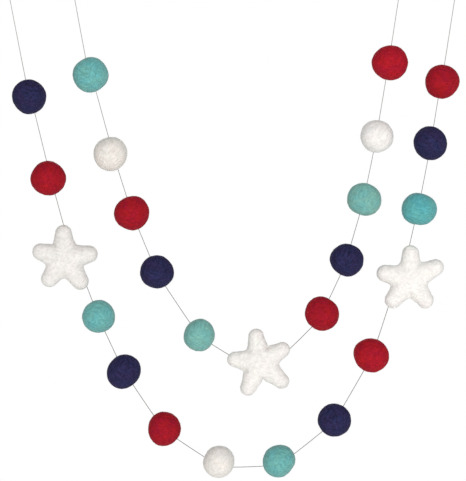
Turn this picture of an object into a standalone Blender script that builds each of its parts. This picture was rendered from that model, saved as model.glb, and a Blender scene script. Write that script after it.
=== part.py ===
"""Felt ball garland: wool balls and stars on one thin string, hung in an outer and an inner swag.

The x axis runs along the wall, y away from it and z up. The height z = 0 is the hanging line,
where the four tied loops at the ends of the swags are pinned. A "drop" is a depth below it.
"""
import math
import random
from collections import namedtuple

import bmesh
import bpy
from mathutils import Quaternion, Vector

MM = 0.001

# Felt balls, nominally one inch across
BALL_LEVELS = 3
BALL_WAVES = 7
BALL_LUMP = 0.11 * MM
BALL_WAVE_RANGE = (2.0, 5.5)
LUMP_SEED = 40

# Stars: five tapering arms felted into one plump body, whose thickness is a share of its width at
# the middle and another at the tips of the arms. Their outline is sampled at shares of the way from
# one arm to the next, closest together round the tips.
MIDDLE_FLATTENING = 0.64
TIP_FLATTENING = 0.98
STAR_BLEND = 1.2 * MM
STAR_HEADING_SHARES = (0.0, 0.09, 0.18, 0.27, 0.38, 0.5, 0.62, 0.73, 0.82, 0.91)
STAR_RINGS = (0.93, 0.77, 0.54, 0.28)
STAR_LUMP = 0.22 * MM
STAR_LUMP_PITCH = 9.0 * MM
STAR_SEARCH = 40.0 * MM
SEARCH_STEPS = 30

# String, its needle channels through the wool, and its knots and loops. RUN_STIFFNESS is 1 for
# dead straight runs between beads, and less where they follow the bend inside the beads.
STRING_DIAMETER = 0.6 * MM
STRING_BEVEL_RESOLUTION = 2
CHANNEL_DIAMETER = 1.4 * MM
CHANNEL_SIDES = 6
CHANNEL_OVERSHOOT = 3.0 * MM
GAP = 0.3 * MM
RUN_STEPS = 2
BEAD_STEPS = 2
RUN_STIFFNESS = 0.92
KNOT_HEIGHT = 2.4 * MM
KNOT_WIDTH = 1.9 * MM
KNOT_LEVELS = 2
LOOP_STEPS = 2
BRIDGE_STEPS = 3

Felt = namedtuple("Felt", "red green blue roughness")
FELTS = {
    "navy": Felt(0.024, 0.023, 0.075, 0.95),
    "red": Felt(0.35, 0.012, 0.023, 0.95),
    "aqua": Felt(0.14, 0.41, 0.40, 0.95),
    "white": Felt(0.78, 0.76, 0.72, 0.95),
    "string": Felt(0.55, 0.54, 0.52, 0.8),
}

# Each ball: centre x and drop and mean diameter in mm, how much longer than the mean its long
# axis is in per cent, and the direction of that axis in degrees from +x towards +z.
Ball = namedtuple("Ball", "felt x drop diameter stretch tilt")
# Each star: centre x and drop, and the radii of its arms at the middle and at the tip, in mm.
Star = namedtuple("Star", "x drop middle_radius tip_radius arms")
# Each arm: its direction in degrees from +x towards +z, and how far its tip reaches in mm.
Arm = namedtuple("Arm", "direction reach")

OUTER_SWAG = (
    Ball("navy", -150.1, 95.6, 25.3, 1.3, 98),
    Ball("red", -136.2, 155.7, 25.6, 1.4, 146),
    Star(-124.0, 214.5, 10.3, 6.2, (
        Arm(93, 24.6), Arm(165, 24.4), Arm(233, 24.9), Arm(304, 26.6), Arm(10, 24.5))),
    Ball("aqua", -99.3, 257.3, 24.3, 0.8, 32),
    Ball("navy", -80.6, 297.7, 25.0, 3.2, 48),
    Ball("red", -50.8, 339.7, 24.9, 3.2, 105),
    Ball("white", -10.5, 364.0, 23.4, 3.5, 67),
    Ball("aqua", 33.2, 363.4, 23.7, 1.6, 50),
    Ball("navy", 74.3, 333.4, 24.2, 0.9, 119),
    Ball("red", 101.0, 285.9, 25.6, 3.1, 160),
    Star(129.5, 230.0, 9.6, 6.2, (
        Arm(88, 25.2), Arm(166, 24.9), Arm(231, 25.6), Arm(307, 25.1), Arm(25, 27.0))),
    Ball("aqua", 136.2, 178.3, 24.9, 4.2, 0),
    Ball("navy", 144.7, 129.7, 25.0, 2.3, 100),
    Ball("red", 153.2, 84.6, 25.4, 1.9, 35),
)
INNER_SWAG = (
    Ball("aqua", -105.1, 79.7, 26.1, 1.7, 8),
    Ball("white", -90.4, 137.6, 25.1, 0.7, 77),
    Ball("red", -74.7, 181.4, 25.6, 1.6, 15),
    Ball("navy", -56.2, 224.6, 24.7, 3.1, 160),
    Ball("aqua", -25.1, 270.9, 23.4, 3.1, 74),
    Star(19.0, 291.0, 9.8, 5.7, (
        Arm(97, 25.0), Arm(173, 23.7), Arm(246, 26.2), Arm(320, 26.9), Arm(29, 25.0))),
    Ball("red", 65.1, 255.3, 24.9, 1.4, 106),
    Ball("navy", 83.1, 215.8, 24.4, 2.9, 165),
    Ball("aqua", 95.9, 171.4, 24.7, 3.4, 158),
    Ball("white", 105.3, 124.7, 24.2, 1.8, 3),
    Ball("red", 114.8, 70.8, 26.2, 2.0, 171),
)

# The string's route, as x and drop in mm: from the knot at its left end, through each bead by a
# point where it comes in and one where it goes out, to the knot at its right end.
OUTER_ROUTE = (
    (-165.9, 16.0),
    (-152.0, 87.0), (-147.0, 104.0),
    (-136.5, 146.5), (-132.0, 164.0),
    (-124.0, 193.0), (-109.0, 232.0),
    (-102.5, 249.0), (-96.0, 265.0),
    (-84.5, 289.5), (-75.5, 305.0),
    (-56.5, 333.0), (-44.0, 345.5),
    (-19.0, 362.0), (-2.5, 368.0),
    (25.5, 367.0), (41.5, 360.5),
    (68.0, 339.5), (79.0, 326.0),
    (97.5, 294.0), (105.0, 277.0),
    (115.0, 246.5), (128.5, 208.5),
    (133.5, 186.5), (137.5, 169.5),
    (143.5, 138.5), (146.5, 121.0),
    (151.0, 93.5), (154.5, 75.5),
    (163.8, 16.0),
)
INNER_ROUTE = (
    (-118.2, 16.0),
    (-108.0, 70.5), (-102.0, 88.5),
    (-91.0, 128.5), (-86.0, 145.5),
    (-77.5, 172.5), (-71.0, 190.0),
    (-60.0, 216.5), (-52.0, 232.0),
    (-30.5, 264.0), (-18.5, 276.0),
    (-0.5, 287.0), (39.0, 283.0),
    (60.0, 262.5), (69.0, 247.0),
    (80.0, 223.5), (85.5, 207.0),
    (93.5, 179.5), (97.5, 162.5),
    (103.5, 133.5), (106.5, 116.0),
    (112.5, 80.0), (115.5, 61.5),
    (122.5, 16.0),
)
# Bare string between the two right-hand knots, sagging a little.
BRIDGE_ROUTE = (
    (122.5, 16.0), (129.5, 19.0), (136.5, 20.8), (143.5, 21.3), (150.5, 20.6), (157.0, 18.8), (163.8, 16.0),
)
# One side of a hanging loop: distance to the side and distance above the knot, in mm.
LOOP_SIDE = ((0.55, 1.5), (1.6, 4.4), (2.9, 8.3), (3.3, 12.0), (2.2, 15.3), (0.0, 16.6))


def clear_scene():
    for obj in list(bpy.data.objects):
        bpy.data.objects.remove(obj, do_unlink=True)


def felt_material(name):
    """The felt or string called name as a plain Principled material."""
    material = bpy.data.materials.get(name)
    if material:
        return material
    felt = FELTS[name]
    material = bpy.data.materials.new(name)
    material.use_nodes = True
    shader = material.node_tree.nodes["Principled BSDF"]
    shader.inputs["Base Color"].default_value = (felt.red, felt.green, felt.blue, 1.0)
    shader.inputs["Roughness"].default_value = felt.roughness
    shader.inputs["Metallic"].default_value = 0.0
    return material


def place(x, drop):
    """A point of the garland's own plane, from an x and a drop in mm."""
    return Vector((x * MM, 0.0, -drop * MM))


def add_object(name, mesh, felt, location=(0.0, 0.0, 0.0)):
    mesh.materials.append(felt_material(felt))
    obj = bpy.data.objects.new(name, mesh)
    obj.location = location
    bpy.context.scene.collection.objects.link(obj)
    return obj


def mesh_from(name, bm):
    """The bmesh as a smooth-shaded mesh whose faces point out."""
    bmesh.ops.recalc_face_normals(bm, faces=bm.faces)
    mesh = bpy.data.meshes.new(name)
    bm.to_mesh(mesh)
    bm.free()
    mesh.shade_smooth()
    return mesh


def random_direction(rng):
    return Vector((rng.gauss(0, 1), rng.gauss(0, 1), rng.gauss(0, 1))).normalized()


def ball_object(name, ball, seed):
    """A hand-rolled ball: a sphere stretched along one axis, with broad shallow lumps."""
    rng = random.Random(seed)
    waves = []
    for _ in range(BALL_WAVES):
        waves.append((random_direction(rng), rng.uniform(*BALL_WAVE_RANGE), rng.uniform(0, math.tau)))
    turn = Quaternion(random_direction(rng), rng.uniform(0, math.tau))
    tilt = math.radians(ball.tilt)
    radius = ball.diameter / 2 * MM
    bm = bmesh.new()
    bmesh.ops.create_icosphere(bm, subdivisions=BALL_LEVELS, radius=1.0)
    for vert in bm.verts:
        out = turn @ vert.co.normalized()
        in_plane = out.x ** 2 + out.z ** 2
        stretch = ball.stretch / 100 * in_plane * math.cos(2 * (math.atan2(out.z, out.x) - tilt))
        lumps = sum(math.sin(pitch * out.dot(axis) + phase) for axis, pitch, phase in waves)
        vert.co = out * (radius * (1 + stretch) + BALL_LUMP * lumps)
    return add_object(name, mesh_from(name, bm), ball.felt, place(ball.x, ball.drop))


def star_depth(star, point):
    """How far the point, taken from the star's centre, lies outside the body; inside it is negative."""
    total = 0.0
    for arm in star.arms:
        angle = math.radians(arm.direction)
        along = Vector((math.cos(angle), 0.0, math.sin(angle)))
        spine = (arm.reach - star.tip_radius) * MM
        share = min(max(point.dot(along) / spine, 0.0), 1.0)
        radius = (star.middle_radius + (star.tip_radius - star.middle_radius) * share) * MM
        off = point - along * (share * spine)
        off.y /= MIDDLE_FLATTENING + (TIP_FLATTENING - MIDDLE_FLATTENING) * share
        total += math.exp((radius - off.length) / STAR_BLEND)
    return -STAR_BLEND * math.log(total)


def star_surface(star, direction, phases):
    """The point where a ray from the star's centre leaves its lumpy surface."""
    low, high = 0.0, STAR_SEARCH
    for _ in range(SEARCH_STEPS):
        middle = (low + high) / 2
        if star_depth(star, direction * middle) < 0:
            low = middle
        else:
            high = middle
    spot = direction * low
    lumps = sum(math.sin(math.tau * value / STAR_LUMP_PITCH + phase) for value, phase in zip(spot, phases))
    return spot + direction * (STAR_LUMP * lumps)


def star_object(name, star, seed):
    """A star as an inflated outline: rings of the outline drawn in towards the front and the back."""
    rng = random.Random(seed)
    phases = [rng.uniform(0, math.tau) for _ in range(3)]
    arms = sorted(arm.direction for arm in star.arms)
    headings = []
    for arm, after in zip(arms, arms[1:] + [arms[0] + 360]):
        headings += [math.radians(arm + (after - arm) * share) for share in STAR_HEADING_SHARES]
    rim = [star_surface(star, Vector((math.cos(a), 0.0, math.sin(a))), phases) for a in headings]
    thickness = star.middle_radius * MIDDLE_FLATTENING * MM
    bm = bmesh.new()
    rim_ring = [bm.verts.new(point) for point in rim]
    for side in (-1, 1):
        ring = rim_ring
        for share in STAR_RINGS:
            height = side * thickness * math.sqrt(1 - share ** 2)
            aims = [Vector((point.x * share, height, point.z * share)).normalized() for point in rim]
            inner = [bm.verts.new(star_surface(star, aim, phases)) for aim in aims]
            for i, vert in enumerate(inner):
                bm.faces.new((ring[i - 1], ring[i], vert, inner[i - 1]))
            ring = inner
        crown = bm.verts.new(star_surface(star, Vector((0.0, side, 0.0)), phases))
        for i, vert in enumerate(ring):
            bm.faces.new((ring[i - 1], vert, crown))
    bmesh.ops.triangulate(bm, faces=bm.faces)
    return add_object(name, mesh_from(name, bm), "white", place(star.x, star.drop))


def hermite(start, end, start_pull, end_pull, share):
    """A point of the smooth curve that leaves start along start_pull and reaches end along end_pull."""
    square, cube = share ** 2, share ** 3
    return (start * (2 * cube - 3 * square + 1) + start_pull * (cube - 2 * square + share)
            + end * (3 * square - 2 * cube) + end_pull * (cube - square))


def threaded_line(route):
    """The string's centre line: nearly straight between beads, bending inside them.

    Returns the line's points and, for each bead, the range of them that lies in its channel.
    """
    spots = [place(x, drop) for x, drop in route]
    ways = []
    for i in range(len(spots)):
        chords = [(b - a).normalized() for a, b in zip(spots[max(i - 1, 0):i + 1], spots[max(i, 1):i + 2])]
        run, through = (chords[0], chords[-1]) if i % 2 else (chords[-1], chords[0])
        ways.append((run * RUN_STIFFNESS + through * (1 - RUN_STIFFNESS)).normalized())
    points, channels = [spots[0]], []
    for i, (start, end) in enumerate(zip(spots, spots[1:])):
        span = (end - start).length
        steps = BEAD_STEPS if i % 2 else RUN_STEPS
        if i % 2:
            channels.append((len(points) - 1, len(points) - 1 + steps))
        for step in range(1, steps + 1):
            points.append(hermite(start, end, ways[i] * span, ways[i + 1] * span, step / steps))
    return points, channels


def smooth_line(spots, steps):
    """A smooth curve through all the spots, which leaves each along the chord of its neighbours."""
    ends = [spots[0] * 2 - spots[1], *spots, spots[-1] * 2 - spots[-2]]
    points = [spots[0]]
    for before, start, end, after in zip(ends, ends[1:], ends[2:], ends[3:]):
        for step in range(1, steps + 1):
            points.append(hermite(start, end, (end - before) / 2, (after - start) / 2, step / steps))
    return points


def trimmed(points, start_cut, end_cut):
    """The line with a length cut off each end."""
    points = list(points)
    for cut in (start_cut, end_cut):
        while cut > (points[1] - points[0]).length:
            cut -= (points[1] - points[0]).length
            points.pop(0)
        points[0] = points[0] + (points[1] - points[0]).normalized() * cut
        points.reverse()
    return points


def string_object(name, points):
    """A length of the string along the points, as a round bevelled curve with closed ends."""
    curve = bpy.data.curves.new(name, "CURVE")
    curve.dimensions = "3D"
    curve.bevel_depth = STRING_DIAMETER / 2
    curve.bevel_resolution = STRING_BEVEL_RESOLUTION
    curve.use_fill_caps = True
    spline = curve.splines.new("POLY")
    spline.points.add(len(points) - 1)
    for spline_point, point in zip(spline.points, points):
        spline_point.co = (*point, 1.0)
    return add_object(name, curve, "string")


def channel_cutter(name, points):
    """A closed tube along the points, a little wider than the string, which cuts its channel."""
    bm = bmesh.new()
    rings = []
    for i, point in enumerate(points):
        way = (points[min(i + 1, len(points) - 1)] - points[max(i - 1, 0)]).normalized()
        across = Vector((0.0, 1.0, 0.0))
        side = way.cross(across).normalized()
        ring = []
        for step in range(CHANNEL_SIDES):
            angle = math.tau * step / CHANNEL_SIDES
            offset = across * math.cos(angle) + side * math.sin(angle)
            ring.append(bm.verts.new(point + offset * (CHANNEL_DIAMETER / 2)))
        rings.append(ring)
    for near, far in zip(rings, rings[1:]):
        for i in range(CHANNEL_SIDES):
            bm.faces.new((near[i - 1], near[i], far[i], far[i - 1]))
    bm.faces.new(rings[0])
    bm.faces.new(rings[-1])
    cutter = add_object(name, mesh_from(name, bm), "string")
    cutter.hide_render = True
    cutter.display_type = "WIRE"
    return cutter


def pierce(bead, line, channel):
    """Cuts the string's channel through the bead, running a little past its surface at both ends."""
    first, last = channel
    lead_in = extended(line[first], line[first - 1], bead)
    lead_out = extended(line[last], line[last + 1], bead)
    cutter = channel_cutter(bead.name + "_channel", [lead_in, *line[first:last + 1], lead_out])
    cut = bead.modifiers.new("needle_channel", "BOOLEAN")
    cut.operation = "DIFFERENCE"
    cut.object = cutter


def extended(point, towards, bead):
    """The spot clear of the bead that is reached by going on from a point inside it."""
    widest = max(vert.co.length for vert in bead.data.vertices)
    depth = widest - (point - bead.location).length
    return point + (towards - point).normalized() * (depth + CHANNEL_OVERSHOOT)


def build_swag(swag, beads, route):
    """The beads of one swag, each pierced along the string that carries it, and the string."""
    line, channels = threaded_line(route)
    for place_in_swag, (bead, channel) in enumerate(zip(beads, channels), 1):
        seed = LUMP_SEED + 100 * len(beads) + place_in_swag
        if isinstance(bead, Ball):
            obj = ball_object(f"{swag}_{place_in_swag:02d}_{bead.felt}_ball", bead, seed)
        else:
            obj = star_object(f"{swag}_{place_in_swag:02d}_star", bead, seed)
        pierce(obj, line, channel)
    cut = KNOT_HEIGHT / 2 + GAP
    string_object(f"{swag}_string", trimmed(line, cut, cut))


def end_frame(route, end):
    """The knot's centre at one end of a route, and the unit vector up along the string there."""
    spots = [place(x, drop) for x, drop in route]
    knot, below = (spots[0], spots[1]) if end == "left" else (spots[-1], spots[-2])
    return knot, (knot - below).normalized()


def knot_object(name, centre, up):
    """A small overhand knot as one closed lump, its long axis along the string."""
    bm = bmesh.new()
    bmesh.ops.create_icosphere(bm, subdivisions=KNOT_LEVELS, radius=0.5)
    turn = Vector((0.0, 0.0, 1.0)).rotation_difference(up)
    for vert in bm.verts:
        vert.co = turn @ Vector((vert.co.x * KNOT_WIDTH, vert.co.y * KNOT_WIDTH, vert.co.z * KNOT_HEIGHT))
    return add_object(name, mesh_from(name, bm), "string", centre)


def loop_object(name, centre, up):
    """The hanging loop above a knot, one open length of string whose two ends meet the knot."""
    side = Vector((up.z, 0.0, -up.x))
    half = [(side * out + up * rise) * MM for out, rise in LOOP_SIDE]
    other_half = [(up * rise - side * out) * MM for out, rise in reversed(LOOP_SIDE[:-1])]
    spots = [centre + spot for spot in half + other_half]
    return string_object(name, smooth_line(spots, LOOP_STEPS))


def build_ends():
    """A knot and a loop at both ends of each swag, and the bare string that joins the swags."""
    for swag, route in (("outer", OUTER_ROUTE), ("inner", INNER_ROUTE)):
        for end in ("left", "right"):
            centre, up = end_frame(route, end)
            knot_object(f"{swag}_{end}_knot", centre, up)
            loop_object(f"{swag}_{end}_loop", centre, up)
    cut = KNOT_WIDTH / 2 + GAP
    spots = [place(x, drop) for x, drop in BRIDGE_ROUTE]
    string_object("bridge_string", trimmed(smooth_line(spots, BRIDGE_STEPS), cut, cut))


clear_scene()
build_swag("outer", OUTER_SWAG, OUTER_ROUTE)
build_swag("inner", INNER_SWAG, INNER_ROUTE)
build_ends()
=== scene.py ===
"""Dresses the felt ball garland: twisted string, tied ends, and needle-felted balls and stars.

It is laid out as an add-on. Run as a script it makes every piece once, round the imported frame.
The x axis runs along the wall, y away from it and z up, and a "drop" is a depth below z = 0.
"""
import math
from collections import namedtuple

import bmesh
import bpy
import numpy as np
from mathutils import Matrix, Vector, noise


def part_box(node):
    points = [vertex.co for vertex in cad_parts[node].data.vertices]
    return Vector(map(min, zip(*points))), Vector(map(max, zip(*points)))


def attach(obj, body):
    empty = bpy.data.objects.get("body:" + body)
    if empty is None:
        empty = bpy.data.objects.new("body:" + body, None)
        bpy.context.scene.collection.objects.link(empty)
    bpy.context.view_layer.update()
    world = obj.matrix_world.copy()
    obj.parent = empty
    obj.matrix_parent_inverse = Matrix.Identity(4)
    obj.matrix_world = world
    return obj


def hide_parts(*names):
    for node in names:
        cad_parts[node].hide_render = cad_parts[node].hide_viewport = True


bl_info = {
    "name": "Felt Ball Garland",
    "version": (1, 0, 0),
    "blender": (4, 5, 0),
    "location": "3D View > Sidebar > Garland",
    "description": "Dresses a hanging garland of wool felt balls and stars on a twisted string",
    "category": "Add Mesh",
}

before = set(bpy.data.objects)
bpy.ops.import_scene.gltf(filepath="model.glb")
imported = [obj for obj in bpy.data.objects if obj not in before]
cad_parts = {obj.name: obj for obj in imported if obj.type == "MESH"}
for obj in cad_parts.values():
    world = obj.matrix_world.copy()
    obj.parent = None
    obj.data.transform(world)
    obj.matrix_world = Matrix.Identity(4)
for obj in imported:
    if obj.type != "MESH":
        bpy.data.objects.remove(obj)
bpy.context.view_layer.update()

MM = 0.001
BODY = "root"

# The string's routes, as x and drop in mm: from the knot at the left end, through each bead by a
# point where it comes in and one where it goes out, to the knot at the right end.
ROUTES = {
    "outer": (
        (-165.9, 16.0),
        (-152.0, 87.0), (-147.0, 104.0),
        (-136.5, 146.5), (-132.0, 164.0),
        (-124.0, 193.0), (-109.0, 232.0),
        (-102.5, 249.0), (-96.0, 265.0),
        (-84.5, 289.5), (-75.5, 305.0),
        (-56.5, 333.0), (-44.0, 345.5),
        (-19.0, 362.0), (-2.5, 368.0),
        (25.5, 367.0), (41.5, 360.5),
        (68.0, 339.5), (79.0, 326.0),
        (97.5, 294.0), (105.0, 277.0),
        (115.0, 246.5), (128.5, 208.5),
        (133.5, 186.5), (137.5, 169.5),
        (143.5, 138.5), (146.5, 121.0),
        (151.0, 93.5), (154.5, 75.5),
        (163.8, 16.0),
    ),
    "inner": (
        (-118.2, 16.0),
        (-108.0, 70.5), (-102.0, 88.5),
        (-91.0, 128.5), (-86.0, 145.5),
        (-77.5, 172.5), (-71.0, 190.0),
        (-60.0, 216.5), (-52.0, 232.0),
        (-30.5, 264.0), (-18.5, 276.0),
        (-0.5, 287.0), (39.0, 283.0),
        (60.0, 262.5), (69.0, 247.0),
        (80.0, 223.5), (85.5, 207.0),
        (93.5, 179.5), (97.5, 162.5),
        (103.5, 133.5), (106.5, 116.0),
        (112.5, 80.0), (115.5, 61.5),
        (122.5, 16.0),
    ),
}
# Bare string between the two right-hand knots, sagging a little.
BRIDGE_ROUTE = (
    (122.5, 16.0), (129.5, 19.0), (136.5, 20.8), (143.5, 21.3), (150.5, 20.6), (157.0, 18.8),
    (163.8, 16.0),
)
# One side of a hanging loop: distance to the side and distance above the knot, in mm.
LOOP_SIDE = ((0.2, 0.3), (0.55, 1.5), (1.6, 4.4), (2.9, 8.3), (3.3, 12.0), (2.2, 15.3), (0.0, 16.6))

# Each star: centre x and drop, and the radii of its arms at the middle and at the tip, in mm.
Star = namedtuple("Star", "x drop middle_radius tip_radius arms")
# Each arm: its direction in degrees from +x towards +z, and how far its tip reaches in mm. Then,
# for the notch between it and the next arm, how deep in mm the rim is cut in, the wool folded and
# a short sharp line pressed in.
Arm = namedtuple("Arm", "direction reach cut fold line")
STARS = {
    "outer_03_star": Star(-124.0, 214.5, 10.3, 6.2, (
        Arm(10, 24.5, 0.2, 0.5, 0.2), Arm(93, 24.6, 0.6, 1.2, 0.7), Arm(165, 24.4, 0.0, 0.4, 0.0),
        Arm(233, 24.9, 0.0, 2.2, 0.0), Arm(304, 26.6, 0.3, 1.4, 0.0))),
    "outer_11_star": Star(129.5, 230.0, 9.6, 6.2, (
        Arm(25, 27.0, 0.0, 1.2, 0.3), Arm(88, 25.2, 0.0, 0.7, 0.0), Arm(166, 24.9, 0.3, 1.4, 0.3),
        Arm(231, 25.6, 0.0, 2.2, 0.0), Arm(307, 25.1, 0.0, 0.4, 0.0))),
    "inner_06_star": Star(19.0, 291.0, 9.8, 5.7, (
        Arm(29, 25.0, 0.6, 2.0, 1.4), Arm(97, 25.0, 0.2, 1.0, 0.0), Arm(173, 23.7, 0.6, 2.0, 1.2),
        Arm(246, 26.2, 1.5, 1.0, 0.5), Arm(320, 26.9, 0.0, 0.4, 0.0))),
}

# String: steps along its curves, how stiffly it runs between beads, the step of its mesh, and how far
# from a knot's centre it stops.
CURVE_STEPS = 40
RUN_STIFFNESS = 0.92
TUBE_STEP = 0.25 * MM
KNOT_REACH = 0.7 * MM
# A line whose cross with the y axis is shorter than this runs almost along that axis.
ALMOST_ALONG = 0.1
# Each strand of the string: how many corners its outer side has, and the angle between them.
PLY_SIDES = 3
PLY_SPREAD = math.radians(40)

# The thread's painted light and shade beside its colour: lighter near the top, darker deep down,
# and the heights between which it changes.
HIGH_PAINTED_LIGHT = 1.4
DEEP_PAINTED_SHADE = 0.72
HIGH_END = -40 * MM
DEEP_END = -280 * MM
# The thread's slubs and fibres: how many to the metre, the way the fibres run, and the tones,
# roughness and relief that they give.
SLUB_SCALE = 260.0
SLUB_RANGE = (0.3, 0.7)
SLUB_TONES = (0.9, 1.1)
THREAD_WAY = (0.3, 0.0, -1.0)
THREAD_SCALE = 9000.0
THREAD_STRETCH = 5.0
THREAD_TONES = (0.85, 1.1)
THREAD_ROUGHNESS = (0.75, 0.5)
THREAD_RELIEF = (0.04 * MM, 0.7)
THREAD_GLOSS = 0.35

# Knots: turns wrapped round the string, the barrel they make, how soon the first turn comes out to
# it, and the cut tail with its droop.
KNOT_TURNS = 2.6
KNOT_STEPS = 90
KNOT_TUBE_STEP = TUBE_STEP * 0.7
KNOT_RADIUS = 0.52 * MM
KNOT_BULGE = 0.14 * MM
KNOT_RISE = 1.75 * MM
KNOT_TUCK = 6
TAIL_STEPS = 12
TAIL_LENGTH = 2.6 * MM
TAIL_DROOP = 0.6

# Balls: how finely they are meshed, the degree of the smooth form fitted to the CAD ball, and the
# share of its middle reach below which a corner belongs to the string's channel.
BALL_LEVELS = 6
SMOOTH_DEGREE = 7
BORE_REACH = 0.93

# Star bodies: how flat the arms are at the middle and at the tip, and how softly they blend.
MIDDLE_FLATTENING = 0.64
TIP_FLATTENING = 0.98
STAR_BLEND = 1.2 * MM
# Star meshes: how their surface is searched for along a ray, how finely they are meshed, and how
# much more finely at a notch, within a span of it.
STAR_SEARCH = 40 * MM
STAR_SEARCH_STEPS = 30
STAR_OUTLINE_TRIES = 1500
STAR_OUTLINE = 330
STAR_RINGS = 28
NOTCH_TRIES = 60
NOTCH_CARE = 2.5
NOTCH_SPAN = 2.5 * MM

# Relief of all felt: dents, finer pits, creases in some patches, and the string's dimples.
DENT_PITCH = 3.4 * MM
DENT_DEPTH = 0.16 * MM
PIT_PITCH = 1.5 * MM
PIT_DEPTH = 0.09 * MM
CREASE_PITCH = 6.5 * MM
CREASE_PATCHES = 0.8
CREASE_WIDTH = 0.09
CREASE_DEPTH = 0.4 * MM
DIMPLE_RADIUS = 1.1 * MM
DIMPLE_DEPTH = 0.5 * MM
# Relief of the stars: long streaks, and the cut, fold and pressed line at a notch, each with how
# far it reaches inward and aside.
STREAK_PITCH = (7.0 * MM, 7.0 * MM, 2.6 * MM)
STREAK_DEPTH = 0.2 * MM
CUT_LENGTH = 2.0 * MM
CUT_WIDTH = 1.0 * MM
FOLD_MIDDLE = 1.4 * MM
FOLD_HALF = 2.8 * MM
FOLD_WIDTH = 1.9 * MM
LINE_MIDDLE = 2.0 * MM
LINE_HALF = 2.2 * MM
LINE_WIDTH = 0.5 * MM

# Loose wool fibres: three-sided hairs of three lengths that end in a point. They lean by an angle
# off the surface, sag back to it, stray aside and taper. A star has so many times a ball's number,
# and each swag has its own seed.
FIBRE_SIDES = 3
FIBRE_RINGS = 3
FIBRE_SINK = 0.15 * MM
FIBRE_LEAN = (math.radians(20), math.radians(82))
FIBRE_SAG = (0.1, 0.8)
FIBRE_STRAY = 0.35
FIBRE_SHORTEST = 0.35
FIBRE_TAPER = 0.5
STAR_FIBRE_TIMES = 2
SWAG_SEEDS = {"outer": 100, "inner": 200}

# Matted wool, in patterns of so many to the metre: clouds of colour, locks combed in two ways patch
# by patch, and a tangle of single hairs in six ways, spread evenly in space. All of it curls.
CLOUD_SCALE = 150.0
PATCH_SCALE = 120.0
PATCH_EDGES = (0.44, 0.56)
LOCK_WAYS = ((0.5, 0.3, 0.8), (0.9, -0.2, -0.3))
LOCK_SCALE = 900.0
LOCK_STRETCH = 4.5
HAIR_WAYS = (
    (0.0, 0.53, 0.85), (0.0, -0.53, 0.85), (0.53, 0.85, 0.0), (-0.53, 0.85, 0.0), (0.85, 0.0, 0.53),
    (0.85, 0.0, -0.53),
)
HAIR_SCALE = 2800.0
HAIR_STRETCH = 14.0
HAIR_WIDTH = 0.07
CURL_SCALE = 260.0
CURL_REACH = 1.4 * MM
# The usual range of a noise, from which clouds and locks take their full contrast.
NOISE_RANGE = (0.35, 0.65)
# How much darker than the contrast the gaps between hairs are, as painted shade, and how much lighter
# the hairs, as painted light.
GAP_PAINTED_SHADE = 1.2
HAIR_PAINTED_LIGHT = 0.35
# Relief as depth and strength, roughness between and on the hairs, gloss, and the faint sheen of
# the fuzz with how widely it spreads.
LOCK_RELIEF = (0.3 * MM, 0.6)
HAIR_RELIEF = (0.1 * MM, 0.8)
FELT_ROUGHNESS = (0.95, 0.78)
FELT_GLOSS = 0.12
FUZZ_SHEEN = 0.18
FUZZ_SPREAD = 0.4

# How light each bead is beside the others of its colour: its own tone and painted light and shade.
BEAD_TONE_AND_PAINTED_LIGHT = {
    "outer_01_navy_ball": 0.94, "outer_05_navy_ball": 1.03, "outer_09_navy_ball": 1.05,
    "outer_02_red_ball": 0.97, "outer_06_red_ball": 0.98, "outer_10_red_ball": 1.1,
    "outer_14_red_ball": 0.98, "inner_07_red_ball": 0.99, "inner_11_red_ball": 1.12,
    "outer_12_aqua_ball": 0.96, "inner_05_aqua_ball": 1.03, "inner_09_aqua_ball": 1.04,
    "inner_02_white_ball": 0.985, "inner_10_white_ball": 1.047,
    "outer_03_star": 0.94, "outer_11_star": 1.03,
}
# How much more faded an aqua bead is than the others, and what that does to its green and blue.
FADING = {"outer_12_aqua_ball": -0.25, "inner_05_aqua_ball": 0.2, "inner_09_aqua_ball": 0.22}
FADED_GREEN = 0.05
FADED_BLUE = 0.2
# How much creamier a white bead is than the others, and what that does to its green.
CREAM = {"inner_02_white_ball": 0.02, "inner_10_white_ball": -0.045}
CREAM_GREEN = 0.4

# Stage: the camera's sensor in mm, the way to each light and its spread in degrees, and the floor.
SENSOR_WIDTH = 36.0
FRONT_LIGHT = ((0.11, -1.0, 0.07), 30)
REAR_LIGHT = ((-0.1, 1.0, 0.15), 60)
FLOOR_RADIUS = 8.0
FLOOR_SIDES = 128
FLOOR_GRAIN = 3.0
FLOOR_PALER = 1.06
FLOOR_ROUGHNESS = (0.75, 0.9)

# What the settings for a length and for a colour have in common.
LENGTH = {"subtype": "DISTANCE", "unit": "LENGTH", "precision": 5}
COLOUR = {"subtype": "COLOR", "size": 3, "min": 0, "max": 1}


# Settings

class StringSettings(bpy.types.PropertyGroup):
    """Sizes and colour of the twisted string."""
    diameter: bpy.props.FloatProperty(
        name="Diameter", description="Thickness of the string", default=0.6 * MM, min=0.3 * MM, **LENGTH)
    plies: bpy.props.IntProperty(
        name="Plies", description="Strands twisted into the string", default=3, min=2, max=4)
    lay_length: bpy.props.FloatProperty(
        name="Lay length", description="Length in which the strands turn once", default=2.4 * MM,
        min=1 * MM, **LENGTH)
    colour: bpy.props.FloatVectorProperty(
        name="Colour", description="Colour of the string", default=(0.245, 0.242, 0.236), **COLOUR)


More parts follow.
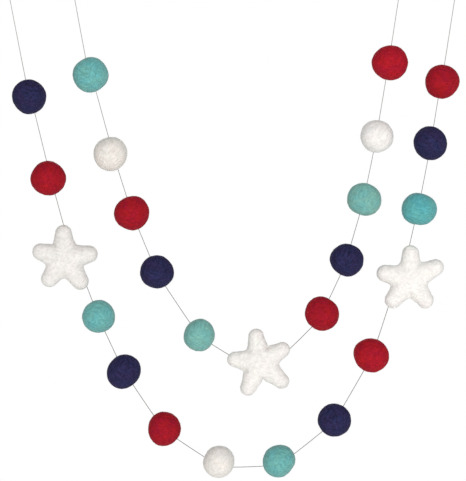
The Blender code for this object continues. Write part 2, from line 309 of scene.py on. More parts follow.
class FeltSettings(bpy.types.PropertyGroup):
    """Colours of the wool and its haze of loose fibre."""
    navy: bpy.props.FloatVectorProperty(
        name="Navy", description="Navy wool", default=(0.0238, 0.0180, 0.0651), **COLOUR)
    red: bpy.props.FloatVectorProperty(
        name="Red", description="Red wool", default=(0.352, 0.0068, 0.0125), **COLOUR)
    aqua: bpy.props.FloatVectorProperty(
        name="Aqua", description="Aqua wool", default=(0.154, 0.407, 0.371), **COLOUR)
    white: bpy.props.FloatVectorProperty(
        name="White", description="White wool of the balls", default=(0.80, 0.75, 0.705), **COLOUR)
    star_white: bpy.props.FloatVectorProperty(
        name="Star white", description="White wool of the stars", default=(0.838, 0.796, 0.77), **COLOUR)
    fibres: bpy.props.IntProperty(
        name="Fibres", description="Loose fibres on each ball", default=560, min=0, max=2000)
    fibre_length: bpy.props.FloatProperty(
        name="Fibre length", description="Length of the longest loose fibres", default=2.6 * MM,
        min=0, **LENGTH)
    fibre_thickness: bpy.props.FloatProperty(
        name="Fibre thickness", description="Thickness of a loose fibre at its root", default=0.05 * MM,
        min=0.01 * MM, **LENGTH)


class StageSettings(bpy.types.PropertyGroup):
    """Camera, floor and light."""
    camera_distance: bpy.props.FloatProperty(
        name="Camera distance", description="From the camera to the garland's plane", default=2.5,
        min=0.5, **LENGTH)
    picture_height: bpy.props.FloatProperty(
        name="Picture height", description="Height of the picture at the garland's plane", default=0.3535,
        min=0.05, **LENGTH)
    aim: bpy.props.FloatVectorProperty(
        name="Aim", description="Point that the camera looks at", default=(-0.00037, 0.0, -0.2014), size=3,
        subtype="XYZ", unit="LENGTH", precision=5)
    key_strength: bpy.props.FloatProperty(
        name="Key light", description="Strength of the broad light in front", default=2.38, min=0)
    rear_strength: bpy.props.FloatProperty(
        name="Rear light", description="Strength of the broad light behind", default=1.65, min=0)
    room_strength: bpy.props.FloatProperty(
        name="Room light", description="Strength of the even light from all round", default=0.36, min=0)
    floor_depth: bpy.props.FloatProperty(
        name="Floor depth", description="How far the floor lies below the hanging line", default=1.2,
        min=0.4, **LENGTH)
    floor_colour: bpy.props.FloatVectorProperty(
        name="Floor colour", description="Colour of the floor", default=(0.8, 0.79, 0.77), **COLOUR)
    floor_glow: bpy.props.FloatProperty(
        name="Floor glow", description="Light that the floor gives from under its sheet", default=0.36, min=0)


# Lines

def place(x, drop):
    """A point of the garland's own plane, from an x and a drop in mm."""
    return Vector((x * MM, 0.0, -drop * MM))


def hermite(start, end, start_pull, end_pull, share):
    """A point of the smooth curve that leaves start along start_pull and reaches end along end_pull."""
    square, cube = share ** 2, share ** 3
    return (start * (2 * cube - 3 * square + 1) + start_pull * (cube - 2 * square + share)
            + end * (3 * square - 2 * cube) + end_pull * (cube - square))


def threaded_line(route):
    """The string's centre line: nearly straight between beads, bending inside them."""
    spots = [place(x, drop) for x, drop in route]
    ways = []
    for i in range(len(spots)):
        chords = [(b - a).normalized() for a, b in zip(spots[max(i - 1, 0):i + 1], spots[max(i, 1):i + 2])]
        run, through = (chords[0], chords[-1]) if i % 2 else (chords[-1], chords[0])
        ways.append((run * RUN_STIFFNESS + through * (1 - RUN_STIFFNESS)).normalized())
    points = [spots[0]]
    for i, (start, end) in enumerate(zip(spots, spots[1:])):
        span = (end - start).length
        for step in range(1, CURVE_STEPS + 1):
            points.append(hermite(start, end, ways[i] * span, ways[i + 1] * span, step / CURVE_STEPS))
    return points


def smooth_line(spots):
    """A smooth curve through all the spots, which leaves each along the chord of its neighbours."""
    ends = [spots[0] * 2 - spots[1], *spots, spots[-1] * 2 - spots[-2]]
    points = [spots[0]]
    for before, start, end, after in zip(ends, ends[1:], ends[2:], ends[3:]):
        for step in range(1, CURVE_STEPS + 1):
            points.append(hermite(start, end, (end - before) / 2, (after - start) / 2, step / CURVE_STEPS))
    return points


def distances(points):
    """How far along the line each of its points lies."""
    steps = np.linalg.norm(np.diff(points, axis=0), axis=1)
    return np.concatenate([[0.0], np.cumsum(steps)])


def evenly(points, spacing, start=0.0, stop=0.0):
    """The line in even steps of about the spacing, with lengths left off its start and its end."""
    points = np.array([tuple(point) for point in points])
    along = distances(points)
    count = max(int((along[-1] - start - stop) / spacing), 2)
    marks = np.linspace(start, along[-1] - stop, count + 1)
    return np.stack([np.interp(marks, along, points[:, axis]) for axis in range(3)], axis=1)


def carried_sides(points):
    """Two unit vectors square to the line at each of its points, turning no more than the line does."""
    ways = np.gradient(points, axis=0)
    ways /= np.linalg.norm(ways, axis=1)[:, None]
    side = np.cross(ways[0], (0.0, 1.0, 0.0))
    if np.linalg.norm(side) < ALMOST_ALONG:
        side = np.cross(ways[0], (1.0, 0.0, 0.0))
    first, second = [], []
    for way in ways:
        side = side - way * side.dot(way)
        side = side / np.linalg.norm(side)
        first.append(side)
        second.append(np.cross(way, side))
    return np.array(first), np.array(second)


def ply_outline(plies, radius):
    """Angles and radii round a string of touching round strands, with its grooves softened."""
    centre = radius / (1 + math.sin(math.pi / plies))
    strand = radius - centre
    angles, radii = [], []
    for ply in range(plies):
        for step in range(PLY_SIDES):
            off = PLY_SPREAD * (step - (PLY_SIDES - 1) / 2)
            reach = centre * math.cos(off) + math.sqrt(max(strand ** 2 - (centre * math.sin(off)) ** 2, 0.0))
            angles.append(math.tau * ply / plies + off)
            radii.append(reach)
    return np.array(angles), np.array(radii)


def twisted_tube(points, settings):
    """A closed tube of twisted strands along the points, as corners and faces."""
    angles, radii = ply_outline(settings.plies, settings.diameter / 2)
    first, second = carried_sides(points)
    turn = math.tau * distances(points)[:, None] / settings.lay_length + angles[None, :]
    offsets = first[:, None, :] * np.cos(turn)[:, :, None] + second[:, None, :] * np.sin(turn)[:, :, None]
    corners = (points[:, None, :] + offsets * radii[None, :, None]).reshape(-1, 3)
    round_count = len(angles)
    faces = []
    for ring in range(len(points) - 1):
        base = ring * round_count
        for i in range(round_count):
            after = (i + 1) % round_count
            faces.append((base + i, base + after, base + round_count + after, base + round_count + i))
    faces.append(tuple(reversed(range(round_count))))
    faces.append(tuple(range(len(corners) - round_count, len(corners))))
    return corners, faces


# Meshes

def add_piece(name, corners, faces, material, slot, *nodes):
    """The mesh as a piece that rides on the garland and stands for the CAD nodes. The slot is not used."""
    mesh = bpy.data.meshes.new(name)
    mesh.from_pydata(corners.tolist(), [], faces)
    mesh.update()
    mesh.shade_smooth()
    mesh.materials.append(material)
    piece = bpy.data.objects.new(name, mesh)
    bpy.context.scene.collection.objects.link(piece)
    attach(piece, BODY)
    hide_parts(*nodes)
    return piece


def joined(*parts):
    """Several sets of corners and faces as one."""
    corners, faces, count = [], [], 0
    for part_corners, part_faces in parts:
        corners.append(part_corners)
        faces += [tuple(i + count for i in face) for face in part_faces]
        count += len(part_corners)
    return np.concatenate(corners), faces


def corner_normals(corners, triangles):
    """Unit normals at the corners of a closed triangle mesh, and the area of each triangle."""
    a, b, c = (corners[triangles[:, i]] for i in range(3))
    crossed = np.cross(b - a, c - a)
    normals = np.zeros_like(corners)
    for i in range(3):
        np.add.at(normals, triangles[:, i], crossed)
    return normals / np.linalg.norm(normals, axis=1)[:, None], np.linalg.norm(crossed, axis=1) / 2


# Felt forms

def ball_directions():
    """Directions and triangles of a fine, even ball of radius 1."""
    bm = bmesh.new()
    bmesh.ops.create_icosphere(bm, subdivisions=BALL_LEVELS, radius=1.0)
    aims = np.array([tuple(vert.co.normalized()) for vert in bm.verts])
    triangles = np.array([[vert.index for vert in face.verts] for face in bm.faces])
    bm.free()
    return aims, triangles


def sphere_terms(aims):
    """Smooth functions over all directions: the products of x, y and z of the two highest degrees."""
    x, y, z = aims.T
    terms = []
    for degree in (SMOOTH_DEGREE - 1, SMOOTH_DEGREE):
        for a in range(degree + 1):
            for b in range(degree + 1 - a):
                terms.append(x ** a * y ** b * z ** (degree - a - b))
    return np.stack(terms, axis=1)


def hand_rolled_form(node, aims):
    """The smooth ball through the CAD node's corners, as a centre and its reach along each aim."""
    low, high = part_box(node)
    centre = (np.array(low) + np.array(high)) / 2
    corners = np.array([tuple(vert.co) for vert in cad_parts[node].data.vertices]) - centre
    reach = np.linalg.norm(corners, axis=1)
    outside = reach > np.median(reach) * BORE_REACH
    terms = sphere_terms(corners[outside] / reach[outside, None])
    weights = np.linalg.lstsq(terms, reach[outside], rcond=None)[0]
    return centre, sphere_terms(aims) @ weights


def star_depth(star, points):
    """How far each point, taken from the star's centre, lies outside the body."""
    total = 0.0
    for arm in star.arms:
        angle = math.radians(arm.direction)
        along = np.array((math.cos(angle), 0.0, math.sin(angle)))
        spine = (arm.reach - star.tip_radius) * MM
        share = np.clip(points @ along / spine, 0.0, 1.0)
        radius = (star.middle_radius + (star.tip_radius - star.middle_radius) * share) * MM
        off = points - along * (share * spine)[:, None]
        off[:, 1] /= MIDDLE_FLATTENING + (TIP_FLATTENING - MIDDLE_FLATTENING) * share
        outside = np.linalg.norm(off, axis=1) - radius
        total = total + np.exp(-outside / STAR_BLEND)
    return -STAR_BLEND * np.log(total)


def star_reach(star, aims):
    """The points where rays from the star's centre leave its body."""
    low = np.zeros(len(aims))
    high = np.full(len(aims), STAR_SEARCH)
    for _ in range(STAR_SEARCH_STEPS):
        middle = (low + high) / 2
        inside = star_depth(star, aims * middle[:, None]) < 0
        low = np.where(inside, middle, low)
        high = np.where(inside, high, middle)
    return aims * low[:, None]


def notches(star):
    """Between each arm and the next: the unit vector and distance from the centre to the notch."""
    found = []
    for arm, following in zip(star.arms, star.arms[1:] + star.arms[:1]):
        gap = (following.direction - arm.direction) % 360
        tries = np.radians(arm.direction + gap * np.linspace(0.0, 1.0, NOTCH_TRIES))
        spots = star_reach(star, np.stack([np.cos(tries), 0 * tries, np.sin(tries)], axis=1))
        reach = np.linalg.norm(spots, axis=1)
        found.append((spots[reach.argmin()] / reach.min(), reach.min()))
    return found


def star_rim(star):
    """The star's outline as a ring of points, closest together in the notches between its arms."""
    headings = np.linspace(0, math.tau, STAR_OUTLINE_TRIES + 1)
    outline = star_reach(star, np.stack([np.cos(headings), 0 * headings, np.sin(headings)], axis=1))
    care = np.ones(len(outline))
    for way, reach in notches(star):
        care += NOTCH_CARE * np.exp(-(np.linalg.norm(outline - way * reach, axis=1) / NOTCH_SPAN) ** 2)
    measure = np.concatenate([[0.0], np.cumsum(np.diff(distances(outline)) * care[1:])])
    marks = np.linspace(0, measure[-1], STAR_OUTLINE, endpoint=False)
    return np.stack([np.interp(marks, measure, outline[:, axis]) for axis in range(3)], axis=1)


def star_form(star):
    """A plump star: its outline drawn in ring by ring towards the front and the back."""
    rim = star_rim(star)
    thickness = star.middle_radius * MIDDLE_FLATTENING * MM
    corners = [rim]
    triangles = []
    count = len(rim)
    for side in (-1, 1):
        ring = np.arange(STAR_OUTLINE)
        for step in range(1, STAR_RINGS):
            lean = math.pi / 2 * step / STAR_RINGS
            aims = rim * (math.cos(lean), 0.0, math.cos(lean))
            aims[:, 1] = side * thickness * math.sin(lean)
            aims /= np.linalg.norm(aims, axis=1)[:, None]
            corners.append(star_reach(star, aims))
            inner = np.arange(count, count + STAR_OUTLINE)
            count += STAR_OUTLINE
            before_outer, before_inner = np.roll(ring, 1), np.roll(inner, 1)
            triangles.append(np.stack([before_outer, ring, inner][::-side], axis=1))
            triangles.append(np.stack([before_outer, inner, before_inner][::-side], axis=1))
            ring = inner
        corners.append(star_reach(star, np.array([[0.0, side, 0.0]])))
        crown = np.full(STAR_OUTLINE, count)
        count += 1
        triangles.append(np.stack([np.roll(ring, 1), ring, crown][::-side], axis=1))
    centre = np.array(tuple(place(star.x, star.drop)))
    return np.concatenate(corners) + centre, np.concatenate(triangles)


def felted(corners, triangles, entries):
    """The form with its dents, pits and creases, and drawn in where the string enters and leaves."""
    normals, _ = corner_normals(corners, triangles)
    depths = np.zeros(len(corners))
    for i, corner in enumerate(corners):
        spot = Vector(corner)
        fold = noise.noise(spot / CREASE_PITCH)
        patch = max(noise.noise(spot / CREASE_PITCH * CREASE_PATCHES), 0.0)
        crease = max(1 - abs(fold) / CREASE_WIDTH, 0.0) * patch
        depths[i] = (DENT_DEPTH * noise.noise(spot / DENT_PITCH) + PIT_DEPTH * noise.noise(spot / PIT_PITCH)
                     - CREASE_DEPTH * crease)
    for entry in entries:
        gap = np.linalg.norm(corners - entry, axis=1)
        depths -= DIMPLE_DEPTH * np.exp(-(gap / DIMPLE_RADIUS) ** 2)
    return corners + normals * depths[:, None]


def folded(star, corners, triangles):
    """The star with its long soft streaks, and the relief at the notches between its arms.

    A cut moves the outline in. A fold and a pressed line sink only the front and the back.
    """
    normals, _ = corner_normals(corners, triangles)
    faces = normals * (0.0, 1.0, 0.0)
    depths = np.array([STREAK_DEPTH * noise.noise(spot) for spot in corners / STREAK_PITCH])
    sunk = np.zeros(len(corners))
    offsets = corners - np.array(tuple(place(star.x, star.drop)))
    for arm, (way, reach) in zip(star.arms, notches(star)):
        inward = np.maximum(reach - offsets @ way, 0.0)
        aside = offsets @ np.array((-way[2], 0.0, way[0]))
        cut = arm.cut * np.exp(-(inward / CUT_LENGTH) ** 2 - (aside / CUT_WIDTH) ** 2)
        fold = arm.fold * np.exp(-((inward - FOLD_MIDDLE) / FOLD_HALF) ** 2 - (aside / FOLD_WIDTH) ** 2)
        line = arm.line * np.exp(-((inward - LINE_MIDDLE) / LINE_HALF) ** 2 - (aside / LINE_WIDTH) ** 2)
        depths -= cut * MM
        sunk += (fold + line) * MM
    return corners + normals * depths[:, None] - faces * sunk[:, None]


def surface_spots(corners, triangles, count, rng):
    """Evenly scattered spots on the surface, with their normals."""
    normals, areas = corner_normals(corners, triangles)
    picked = triangles[rng.choice(len(triangles), count, p=areas / areas.sum())]
    shares = rng.dirichlet((1.0, 1.0, 1.0), count)
    spots = (corners[picked] * shares[:, :, None]).sum(axis=1)
    outward = (normals[picked] * shares[:, :, None]).sum(axis=1)
    return spots, outward / np.linalg.norm(outward, axis=1)[:, None]


def loose_fibres(corners, triangles, count, settings, rng):
    """A haze of curved wool hairs rooted in the surface, as corners and faces."""
    spots, outward = surface_spots(corners, triangles, count, rng)
    across = np.cross(outward, rng.normal(size=(count, 3)))
    across /= np.linalg.norm(across, axis=1)[:, None]
    lean = rng.uniform(*FIBRE_LEAN, count)[:, None]
    way = outward * np.cos(lean) + across * np.sin(lean)
    bend = -outward * rng.uniform(*FIBRE_SAG, (count, 1)) + rng.normal(0, FIBRE_STRAY, (count, 3))
    length = settings.fibre_length * rng.uniform(FIBRE_SHORTEST, 1.0, (count, 1)) ** 2
    roots = spots - outward * FIBRE_SINK
    side = np.cross(way, outward + 0.5 * across)
    side /= np.linalg.norm(side, axis=1)[:, None]
    other = np.cross(way, side)
    rings = []
    for step in range(FIBRE_RINGS):
        share = step / FIBRE_RINGS
        middle = roots + way * length * share + bend * length * share ** 2
        radius = settings.fibre_thickness / 2 * (1 - FIBRE_TAPER * share)
        for i in range(FIBRE_SIDES):
            angle = math.tau * i / FIBRE_SIDES
            rings.append(middle + (side * math.cos(angle) + other * math.sin(angle)) * radius)
    rings.append(roots + way * length + bend * length)
    hair_corners = np.stack(rings, axis=1).reshape(-1, 3)
    faces = []
    hair_size = FIBRE_RINGS * FIBRE_SIDES + 1
    for base in range(0, count * hair_size, hair_size):
        faces.append((base + 2, base + 1, base))
        for ring in range(base, base + (FIBRE_RINGS - 1) * FIBRE_SIDES, FIBRE_SIDES):
            for i in range(FIBRE_SIDES):
                after = (i + 1) % FIBRE_SIDES
                faces.append((ring + i, ring + after, ring + FIBRE_SIDES + after, ring + FIBRE_SIDES + i))
        last = base + (FIBRE_RINGS - 1) * FIBRE_SIDES
        for i in range(FIBRE_SIDES):
            faces.append((last + i, last + (i + 1) % FIBRE_SIDES, base + hair_size - 1))
    return hair_corners, faces


def add_felt_piece(node, corners, triangles, fibres, settings, material, slot):
    """A felt bead in place of its CAD node: its matted surface and its loose fibres in one mesh."""
    swag, number = node.split("_")[:2]
    route = ROUTES[swag]
    entries = [np.array(tuple(place(*route[2 * int(number) - back]))) for back in (1, 0)]
    rng = np.random.default_rng(SWAG_SEEDS[swag] + int(number))
    corners = felted(corners, triangles, entries)
    surface = (corners, [tuple(face) for face in triangles.tolist()])
    haze = loose_fibres(corners, triangles, fibres, settings, rng)
    return add_piece(node + "_felt", *joined(surface, haze), material, slot, node)


# Materials

class Finish:
    """A procedural material being put together: its nodes, and the shader they feed."""

    def __init__(self, name):
        self.material = bpy.data.materials.new(name)
        self.material.use_nodes = True
        self.nodes = self.material.node_tree.nodes
        self.links = self.material.node_tree.links
        self.shader = self.nodes["Principled BSDF"]

    def add(self, kind, inputs=None, **settings):
        """A node with these settings and inputs. An input is a plain value or another node's output."""
        node = self.nodes.new(kind)
        for key, value in settings.items():
            setattr(node, key, value)
        for key, value in (inputs or {}).items():
            self.feed(node.inputs[key], value)
        return node

    def feed(self, socket, value):
        """Links another node's output to the socket, or sets the socket's own value."""
        if isinstance(value, bpy.types.NodeSocket):
            self.links.new(value, socket)
        else:
            socket.default_value = value

    def noise(self, vector, scale, detail=2.0, distortion=0.0):
        """A noise with so many lumps to the metre."""
        node = self.add("ShaderNodeTexNoise", {
            "Vector": vector, "Scale": scale, "Detail": detail, "Distortion": distortion})
        return node.outputs["Fac"]

    def stretched(self, vector, way, stretch):
        """The coordinates squeezed along a way in space, so that patterns run as long strands along it."""
        turn = Vector(way).to_track_quat("X", "Z").to_euler()
        node = self.add(
            "ShaderNodeMapping", {"Vector": vector, "Rotation": turn, "Scale": (stretch, 1, 1)},
            vector_type="TEXTURE")
        return node.outputs["Vector"]

    def between(self, value, low, high, from_low=0.0, from_high=1.0):
        """The value spread from one range to another, and held at its ends."""
        node = self.add("ShaderNodeMapRange", {
            "Value": value, "From Min": from_low, "From Max": from_high, "To Min": low, "To Max": high})
        return node.outputs["Result"]

    def maths(self, operation, first, second):
        node = self.add("ShaderNodeMath", {0: first, 1: second}, operation=operation)
        return node.outputs["Value"]

    def scaled(self, vector, factor):
        node = self.add("ShaderNodeVectorMath", {0: vector, "Scale": factor}, operation="SCALE")
        return node.outputs["Vector"]

    def toned(self, colour, level):
        """The colour made darker or lighter by a level near 1."""
        grey = self.add("ShaderNodeCombineColor", {"Red": level, "Green": level, "Blue": level})
        return self.mixed(1.0, colour, grey.outputs["Color"], "MULTIPLY")

    def mixed(self, share, first, second, blend="MIX"):
        """Two colours mixed by a share."""
        node = self.add("ShaderNodeMix", data_type="RGBA", blend_type=blend)
        for name, value in (("Factor_Float", share), ("A_Color", first), ("B_Color", second)):
            socket = next(s for s in node.inputs if s.identifier == name)
            self.feed(socket, value)
        return next(s for s in node.outputs if s.identifier == "Result_Color")

    def bumped(self, height, distance, strength, normal=None):
        """A fine relief from the height, on top of a coarser one where there is one."""
        inputs = {"Height": height, "Distance": distance, "Strength": strength}
        if normal:
            inputs["Normal"] = normal
        return self.add("ShaderNodeBump", inputs).outputs["Normal"]

    def place_coordinates(self):
        return self.add("ShaderNodeTexCoord").outputs["Object"]

    def set_shader(self, **values):
        """Values and links for the shader, each named as its socket with _ for spaces."""
        for key, value in values.items():
            self.feed(self.shader.inputs[key.replace("_", " ")], value)


def opaque(colour, factor=1.0):
    """A colour times a factor, with its alpha."""
    return (*[min(part * factor, 1.0) for part in colour], 1.0)


def faded(node):
    """Factors on a bead's red, green and blue for how far its dye has faded and how creamy it is."""
    fading = FADING.get(node, 0.0)
    cream = CREAM.get(node, 0.0)
    return 1 + fading, 1 + fading * FADED_GREEN - cream * CREAM_GREEN, 1 - fading * FADED_BLUE - cream


def felt_finish(name, colour, cast, contrast, fuzz):
    """Matted wool: cloudy patches, combed locks, tangled hairs with painted shade and light, a soft bump.

    cast is the colour that the cloudy patches lean to, contrast how strongly locks and hairs show,
    and fuzz the colour of the sheen.
    """
    finish = Finish(name)
    where = finish.place_coordinates()
    drift = finish.add("ShaderNodeTexNoise", {"Vector": where, "Scale": CURL_SCALE, "Detail": 1.0})
    curl = finish.scaled(drift.outputs["Color"], CURL_REACH)
    curled = finish.add("ShaderNodeVectorMath", {0: where, 1: curl}, operation="ADD").outputs["Vector"]
    clouds = finish.noise(where, CLOUD_SCALE, detail=3.0, distortion=0.6)
    patches = finish.between(finish.noise(where, PATCH_SCALE, detail=1.0), 0.0, 1.0, *PATCH_EDGES)
    combed = [finish.noise(finish.stretched(curled, way, LOCK_STRETCH), LOCK_SCALE) for way in LOCK_WAYS]
    locks = finish.between(patches, *combed)
    tangle = None
    for way in HAIR_WAYS:
        strand = finish.noise(finish.stretched(curled, way, HAIR_STRETCH), HAIR_SCALE, detail=1.0)
        off = finish.maths("ABSOLUTE", finish.maths("SUBTRACT", strand, 0.5), 0.0)
        hair = finish.between(off, 1.0, 0.0, 0.0, HAIR_WIDTH)
        tangle = finish.maths("MAXIMUM", tangle, hair) if tangle else hair
    cloudy = finish.mixed(finish.between(clouds, 0.0, 1.0, *NOISE_RANGE), opaque(colour), opaque(cast))
    shade = finish.between(locks, 1 - contrast, 1 + contrast, *NOISE_RANGE)
    # Painted shade in the gaps between hairs and painted light on the hairs themselves.
    ends = finish.between(tangle, 1 - GAP_PAINTED_SHADE * contrast, 1 + HAIR_PAINTED_LIGHT * contrast)
    finish.set_shader(
        Base_Color=finish.toned(cloudy, finish.maths("MULTIPLY", shade, ends)),
        Roughness=finish.between(tangle, *FELT_ROUGHNESS),
        Normal=finish.bumped(tangle, *HAIR_RELIEF, finish.bumped(locks, *LOCK_RELIEF)),
        Specular_IOR_Level=FELT_GLOSS,
        Sheen_Weight=FUZZ_SHEEN,
        Sheen_Roughness=FUZZ_SPREAD,
        Sheen_Tint=opaque(fuzz),
    )
    return finish.material


def string_finish(name, colour):
    """Twisted thread: fine fibres along the strands, faint gloss, and painted light and shade by height."""
    finish = Finish(name)
    where = finish.place_coordinates()
    slubs = finish.between(finish.noise(where, SLUB_SCALE), *SLUB_TONES, *SLUB_RANGE)
    hairs = finish.noise(
        finish.stretched(where, THREAD_WAY, THREAD_STRETCH), THREAD_SCALE, distortion=0.4)
    height = finish.add("ShaderNodeSeparateXYZ", {"Vector": where}).outputs["Z"]
    # Painted light and shade: the thread is lighter near the top and darker deep down.
    pale = finish.between(height, DEEP_PAINTED_SHADE, HIGH_PAINTED_LIGHT, DEEP_END, HIGH_END)
    level = finish.maths("MULTIPLY", slubs, finish.between(hairs, *THREAD_TONES))
    level = finish.maths("MULTIPLY", level, pale)
    finish.set_shader(
        Base_Color=finish.toned(opaque(colour), level),
        Roughness=finish.between(hairs, *THREAD_ROUGHNESS),
        Normal=finish.bumped(hairs, *THREAD_RELIEF),
        Specular_IOR_Level=THREAD_GLOSS,
    )
    return finish.material


def string_material(settings):
    """The thread's material, made once for all string pieces."""
    return bpy.data.materials.get("twisted_string") or string_finish("twisted_string", settings.colour)


# Operators

class GARLAND_OT_stage(bpy.types.Operator):
    """Sets up the camera, the pale floor and the soft light"""
    bl_idname = "garland.stage"
    bl_label = "Stage"

    def execute(self, context):
        settings = context.scene.garland_stage
        self.add_camera(context, settings)
        self.add_floor(context, settings)
        self.add_light(context, "broad_front_light", settings.key_strength, *FRONT_LIGHT)
        self.add_light(context, "broad_rear_light", settings.rear_strength, *REAR_LIGHT)
        self.set_room(context, settings)
        context.scene.view_settings.view_transform = "Standard"
        return {"FINISHED"}

    def add_camera(self, context, settings):
        """A long lens square to the garland's plane, so that all beads are seen from the front."""
        data = bpy.data.cameras.new("picture_camera")
        data.sensor_width = SENSOR_WIDTH
        data.lens = SENSOR_WIDTH * settings.camera_distance / settings.picture_height
        camera = bpy.data.objects.new("picture_camera", data)
        camera.location = Vector(settings.aim) - Vector((0, settings.camera_distance, 0))
        camera.rotation_euler = (math.radians(90), 0, 0)
        context.scene.collection.objects.link(camera)
        context.scene.camera = camera

    def add_floor(self, context, settings):
        """A wide pale floor, well below the garland."""
        bm = bmesh.new()
        bmesh.ops.create_circle(bm, cap_ends=True, segments=FLOOR_SIDES, radius=FLOOR_RADIUS)
        mesh = bpy.data.meshes.new("pale_floor")
        bm.to_mesh(mesh)
        bm.free()
        finish = Finish("pale_floor")
        grain = finish.noise(finish.place_coordinates(), FLOOR_GRAIN, detail=6.0)
        finish.set_shader(
            Base_Color=finish.mixed(
                grain, opaque(settings.floor_colour), opaque(settings.floor_colour, FLOOR_PALER)),
            Roughness=finish.between(grain, *FLOOR_ROUGHNESS),
            Emission_Color=(1, 1, 1, 1),
            Emission_Strength=settings.floor_glow,
        )
        mesh.materials.append(finish.material)
        floor = bpy.data.objects.new("pale_floor", mesh)
        floor.location.z = -settings.floor_depth
        context.scene.collection.objects.link(floor)

    def add_light(self, context, name, strength, towards, spread):
        """A broad, soft, distant light that stands in the direction towards."""
        data = bpy.data.lights.new(name, "SUN")
        data.energy = strength
        data.angle = math.radians(spread)
        light = bpy.data.objects.new(name, data)
        light.rotation_euler = Vector(towards).to_track_quat("Z", "Y").to_euler()
        context.scene.collection.objects.link(light)

    def set_room(self, context, settings):
        """A white room behind the garland, which lights it more dimly than it looks."""
        world = bpy.data.worlds.new("white_room")
        world.use_nodes = True
        nodes, links = world.node_tree.nodes, world.node_tree.links
        seen = nodes["Background"]
        seen.inputs["Color"].default_value = (1, 1, 1, 1)
        seen.inputs["Strength"].default_value = 1.0
        lit = nodes.new("ShaderNodeBackground")
        lit.inputs["Color"].default_value = (1, 1, 1, 1)
        lit.inputs["Strength"].default_value = settings.room_strength
        path = nodes.new("ShaderNodeLightPath")
        mix = nodes.new("ShaderNodeMixShader")
        links.new(path.outputs["Is Camera Ray"], mix.inputs["Fac"])
        links.new(lit.outputs["Background"], mix.inputs[1])
        links.new(seen.outputs["Background"], mix.inputs[2])
        links.new(mix.outputs["Shader"], nodes["World Output"].inputs["Surface"])
        context.scene.world = world


class GARLAND_OT_strings(bpy.types.Operator):
    """Makes the twisted string of both swags and the bare run between them"""
    bl_idname = "garland.strings"
    bl_label = "Strings"

    def execute(self, context):
        settings = context.scene.garland_string
        for swag, route in ROUTES.items():
            self.add_string(settings, f"{swag}_string", threaded_line(route))
        bridge = smooth_line([place(x, drop) for x, drop in BRIDGE_ROUTE])
        self.add_string(settings, "bridge_string", bridge)
        return {"FINISHED"}

    def add_string(self, settings, node, line):
        points = evenly(line, TUBE_STEP, KNOT_REACH, KNOT_REACH)
        corners, faces = twisted_tube(points, settings)
        piece = add_piece(node + "_twisted", corners, faces, string_material(settings), "string", node)


def tied_end(swag, end):
    """The knot's centre at one end of a swag, and the unit vector up along the string there."""
    spots = [place(x, drop) for x, drop in ROUTES[swag]]
    knot, below = (spots[0], spots[1]) if end == "left" else (spots[-1], spots[-2])
    return knot, (knot - below).normalized()


TIED_ENDS = [(swag, end) for swag in ROUTES for end in ("left", "right")]


class GARLAND_OT_loops(bpy.types.Operator):
    """Makes the four hanging loops at the tops of the swags"""
    bl_idname = "garland.loops"
    bl_label = "Hanging Loops"

    def execute(self, context):
        settings = context.scene.garland_string
        for swag, end in TIED_ENDS:
            knot, up = tied_end(swag, end)
            side = Vector((up.z, 0.0, -up.x))
            half = [(side * out + up * rise) * MM for out, rise in LOOP_SIDE]
            other_half = [(up * rise - side * out) * MM for out, rise in reversed(LOOP_SIDE[:-1])]
            points = evenly(smooth_line([knot + spot for spot in half + other_half]), TUBE_STEP)
            corners, faces = twisted_tube(points, settings)
            node = f"{swag}_{end}_loop"
            piece = add_piece(node + "_twisted", corners, faces, string_material(settings), "string", node)
        return {"FINISHED"}


class GARLAND_OT_knots(bpy.types.Operator):
    """Ties the small wrapped knots under the hanging loops, each with its cut tail"""
    bl_idname = "garland.knots"
    bl_label = "Knots"

    def execute(self, context):
        settings = context.scene.garland_string
        for swag, end in TIED_ENDS:
            knot, up = tied_end(swag, end)
            side = Vector((up.z, 0.0, -up.x))
            out = side.cross(up)
            turned = Matrix((side, out, up)).transposed()
            points = np.array([tuple(knot + turned @ spot) for spot in self.wraps()])
            corners, faces = twisted_tube(evenly(points, KNOT_TUBE_STEP), settings)
            node = f"{swag}_{end}_knot"
            add_piece(node + "_tied", corners, faces, string_material(settings), "string", node)
        return {"FINISHED"}

    def wraps(self):
        """The thread's path round the string, from the top of the knot to the tip of its tail."""
        path = []
        for step in range(KNOT_STEPS + 1):
            share = step / KNOT_STEPS
            angle = math.tau * KNOT_TURNS * share
            tucked = min(share * KNOT_TUCK, 1.0)
            radius = (KNOT_RADIUS + KNOT_BULGE * math.sin(math.pi * share)) * tucked
            rise = KNOT_RISE * (0.5 - share)
            path.append(Vector((radius * math.cos(angle), radius * math.sin(angle), rise)))
        way = (path[-1] - path[-2]).normalized()
        for step in range(1, TAIL_STEPS + 1):
            share = step / TAIL_STEPS
            path.append(path[KNOT_STEPS] + way * (TAIL_LENGTH * share)
                        - Vector((0, 0, TAIL_LENGTH * TAIL_DROOP * share ** 2)))
        return path


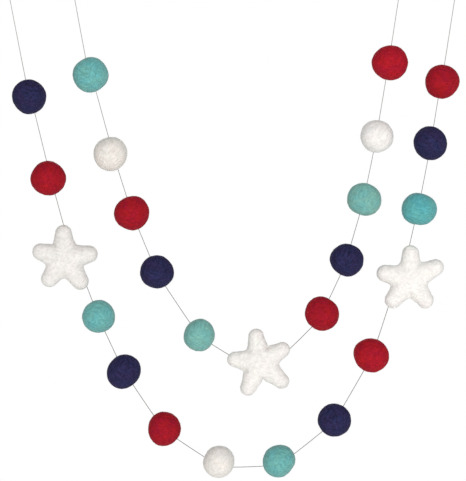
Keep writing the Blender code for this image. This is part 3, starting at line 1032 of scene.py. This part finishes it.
class GARLAND_OT_balls(bpy.types.Operator):
    """Makes the hand-rolled felt balls"""
    bl_idname = "garland.balls"
    bl_label = "Felt Balls"

    # For each wool: the colour that its patches lean to, its contrast, and the colour of its fuzz.
    CASTS = {
        "navy": ((0.0178, 0.0198, 0.0704), 0.43, (0.03, 0.02, 0.09)),
        "red": ((0.315, 0.0055, 0.021), 0.20, (0.3, 0.0, 0.01)),
        "aqua": ((0.125, 0.392, 0.395), 0.18, (1.0, 0.94, 0.88)),
        "white": ((0.785, 0.755, 0.715), 0.105, (0.75, 1.0, 1.0)),
    }

    def execute(self, context):
        settings = context.scene.garland_felt
        aims, triangles = ball_directions()
        for node in sorted(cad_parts):
            if not node.endswith("_ball"):
                continue
            felt = node.split("_")[2]
            centre, reach = hand_rolled_form(node, aims)
            # The bead's own tone, together with painted light and shade for where it hangs.
            tone_and_painted_light = BEAD_TONE_AND_PAINTED_LIGHT.get(node, 1.0)
            cast, contrast, fuzz = self.CASTS[felt]
            colour, cast = (
                [part * factor * tone_and_painted_light for part, factor in zip(wool, faded(node))]
                for wool in (getattr(settings, felt), cast))
            material = felt_finish(node + "_wool", colour, cast, contrast, fuzz)
            add_felt_piece(
                node, centre + aims * reach[:, None], triangles, settings.fibres, settings, material,
                felt + "_wool")
        return {"FINISHED"}


class GARLAND_OT_stars(bpy.types.Operator):
    """Makes the three plump felt stars"""
    bl_idname = "garland.stars"
    bl_label = "Felt Stars"

    # The same three for the stars' wool.
    CAST = (0.815, 0.796, 0.757)
    CONTRAST = 0.09
    FUZZ = (0.75, 1.0, 1.0)

    def execute(self, context):
        settings = context.scene.garland_felt
        for node, star in STARS.items():
            # The star's own tone, together with painted light and shade for where it hangs.
            tone_and_painted_light = BEAD_TONE_AND_PAINTED_LIGHT.get(node, 1.0)
            colour, cast = (
                [part * tone_and_painted_light for part in wool] for wool in (settings.star_white, self.CAST))
            material = felt_finish(node + "_wool", colour, cast, self.CONTRAST, self.FUZZ)
            corners, triangles = star_form(star)
            corners = folded(star, corners, triangles)
            fibres = settings.fibres * STAR_FIBRE_TIMES
            add_felt_piece(node, corners, triangles, fibres, settings, material, "white_wool")
        return {"FINISHED"}


class GARLAND_PT_pieces(bpy.types.Panel):
    """Lists the garland's pieces and their settings"""
    bl_idname = "GARLAND_PT_pieces"
    bl_label = "Felt Ball Garland"
    bl_space_type = "VIEW_3D"
    bl_region_type = "UI"
    bl_category = "Garland"

    def draw(self, context):
        for group, operators in (
            ("garland_stage", (GARLAND_OT_stage,)),
            ("garland_string", (GARLAND_OT_strings, GARLAND_OT_loops, GARLAND_OT_knots)),
            ("garland_felt", (GARLAND_OT_balls, GARLAND_OT_stars)),
        ):
            box = self.layout.box()
            settings = getattr(context.scene, group)
            for key in settings.bl_rna.properties.keys():
                if key not in ("rna_type", "name"):
                    box.prop(settings, key)
            for operator in operators:
                box.operator(operator.bl_idname)


SETTINGS = {
    "garland_stage": StageSettings,
    "garland_string": StringSettings,
    "garland_felt": FeltSettings,
}
OPERATORS = (
    GARLAND_OT_stage, GARLAND_OT_strings, GARLAND_OT_loops, GARLAND_OT_knots, GARLAND_OT_balls,
    GARLAND_OT_stars,
)


def register():
    """Adds the settings, the operators and the panel to Blender."""
    for name, group in SETTINGS.items():
        bpy.utils.register_class(group)
        setattr(bpy.types.Scene, name, bpy.props.PointerProperty(type=group))
    for operator in OPERATORS:
        bpy.utils.register_class(operator)
    bpy.utils.register_class(GARLAND_PT_pieces)


def unregister():
    """Takes the panel, the operators and the settings out again."""
    bpy.utils.unregister_class(GARLAND_PT_pieces)
    for operator in reversed(OPERATORS):
        bpy.utils.unregister_class(operator)
    for name, group in SETTINGS.items():
        delattr(bpy.types.Scene, name)
        bpy.utils.unregister_class(group)


def main():
    """Makes the stage and all the pieces."""
    register()
    bpy.ops.garland.stage()
    bpy.ops.garland.strings()
    bpy.ops.garland.loops()
    bpy.ops.garland.knots()
    bpy.ops.garland.balls()
    bpy.ops.garland.stars()


if __name__ == "__main__":
    main()
